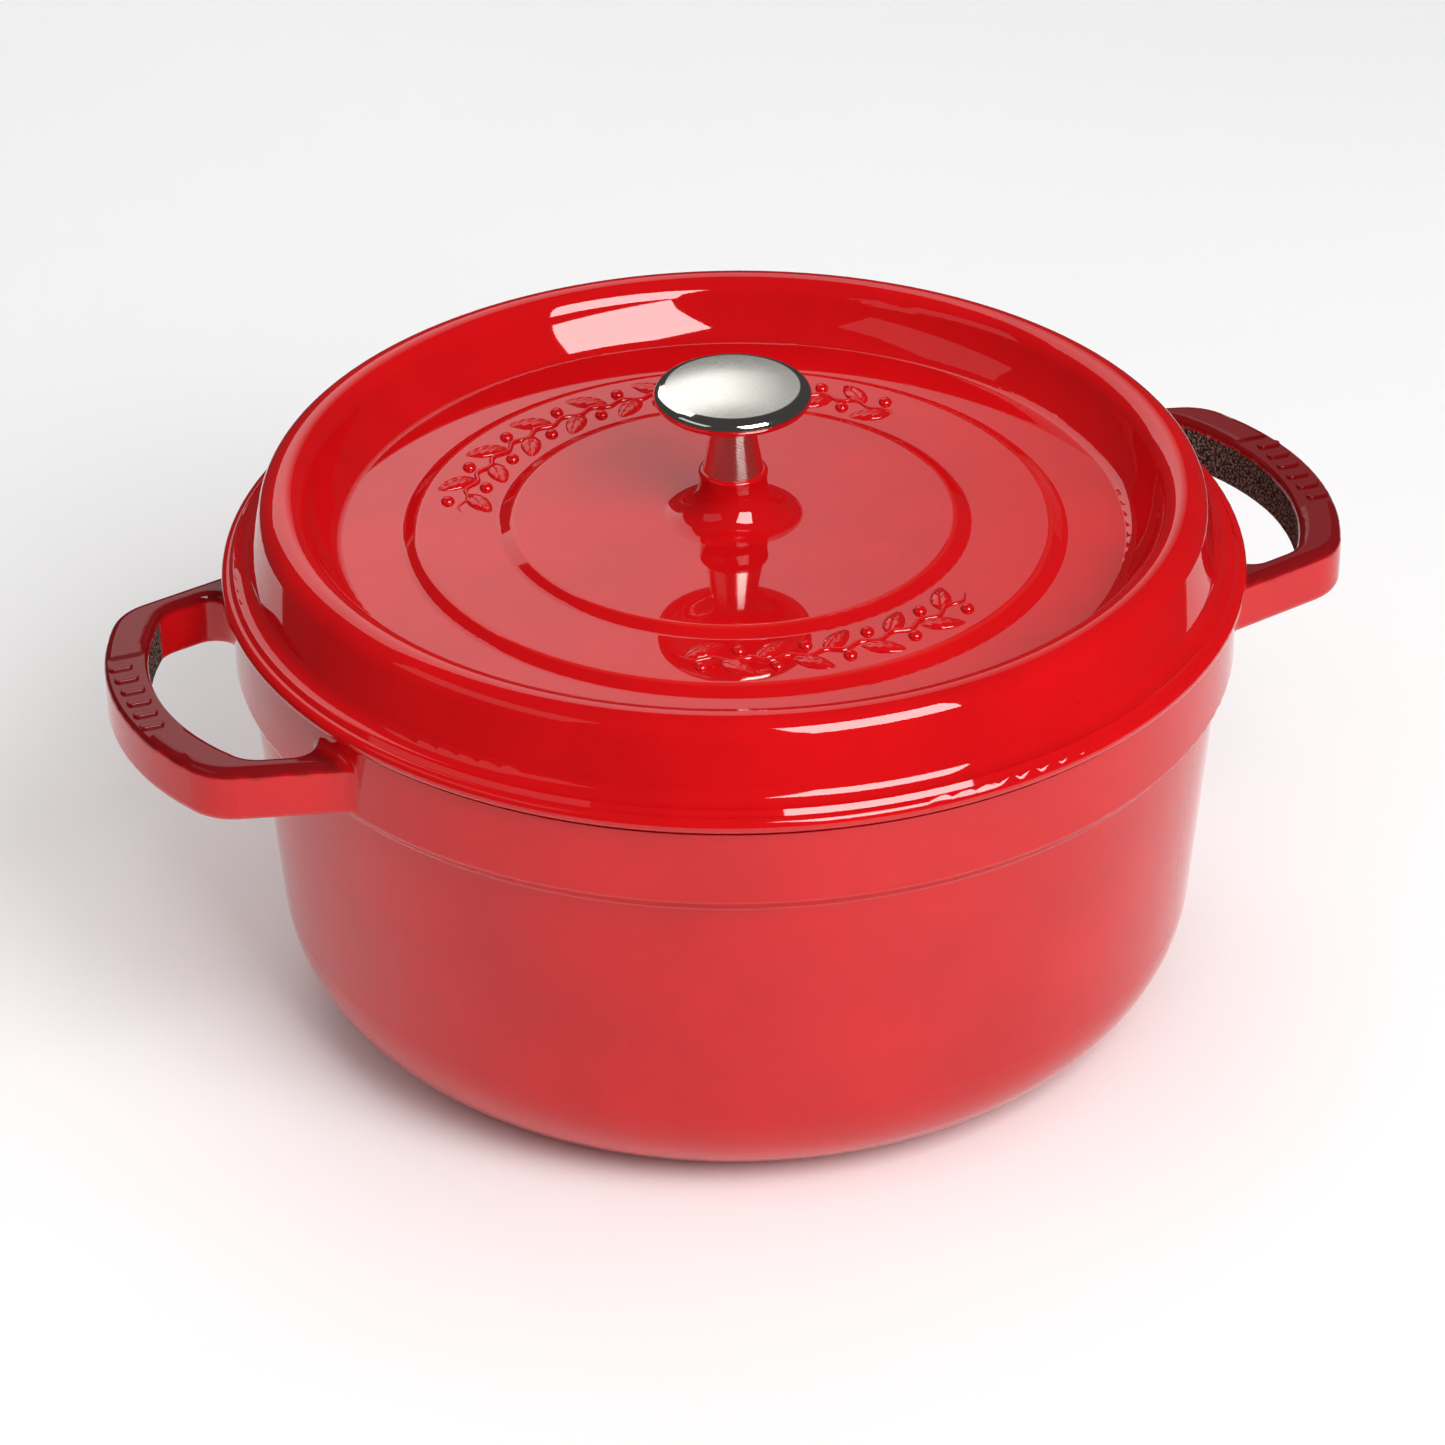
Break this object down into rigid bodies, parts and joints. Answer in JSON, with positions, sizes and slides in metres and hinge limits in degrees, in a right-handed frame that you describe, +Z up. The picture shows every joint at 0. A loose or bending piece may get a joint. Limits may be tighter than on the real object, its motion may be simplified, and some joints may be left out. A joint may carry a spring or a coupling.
{
  "type": "dutch oven",
  "caption": "Round enamelled cast iron dutch oven: tapered pot with a thick collar and side loop handles, and a dished lift-off lid with a raised ring, boss and metal knob.",
  "frame": {"origin": "centre of the pot's flat resting face", "axes": "+X runs through the two loop handles, +Y across them, +Z up through the knob"},
  "size_m": [0.3336, 0.266, 0.1745],
  "materials": {
    "red_enamel": "glossy red vitreous enamel fired onto cast iron",
    "black_enamel": "matt black vitreous enamel",
    "nickel": "nickel plated, satin top and polished edge",
    "screw_steel": "stainless steel, machined"
  },
  "bodies": {
    "pot": {"pot_casting": "red_enamel", "pot_lining": "black_enamel"},
    "lid": {"lid_casting": "red_enamel", "lid_lining": "black_enamel", "knob": "nickel", "knob_washer": "screw_steel", "knob_screw": "screw_steel"}
  },
  "joints": [
    {"name": "lid_lift", "type": "slide", "parent": "pot", "child": "lid", "axis": [0, 0, 1], "range_m": [0, 0.15]}
  ]
}
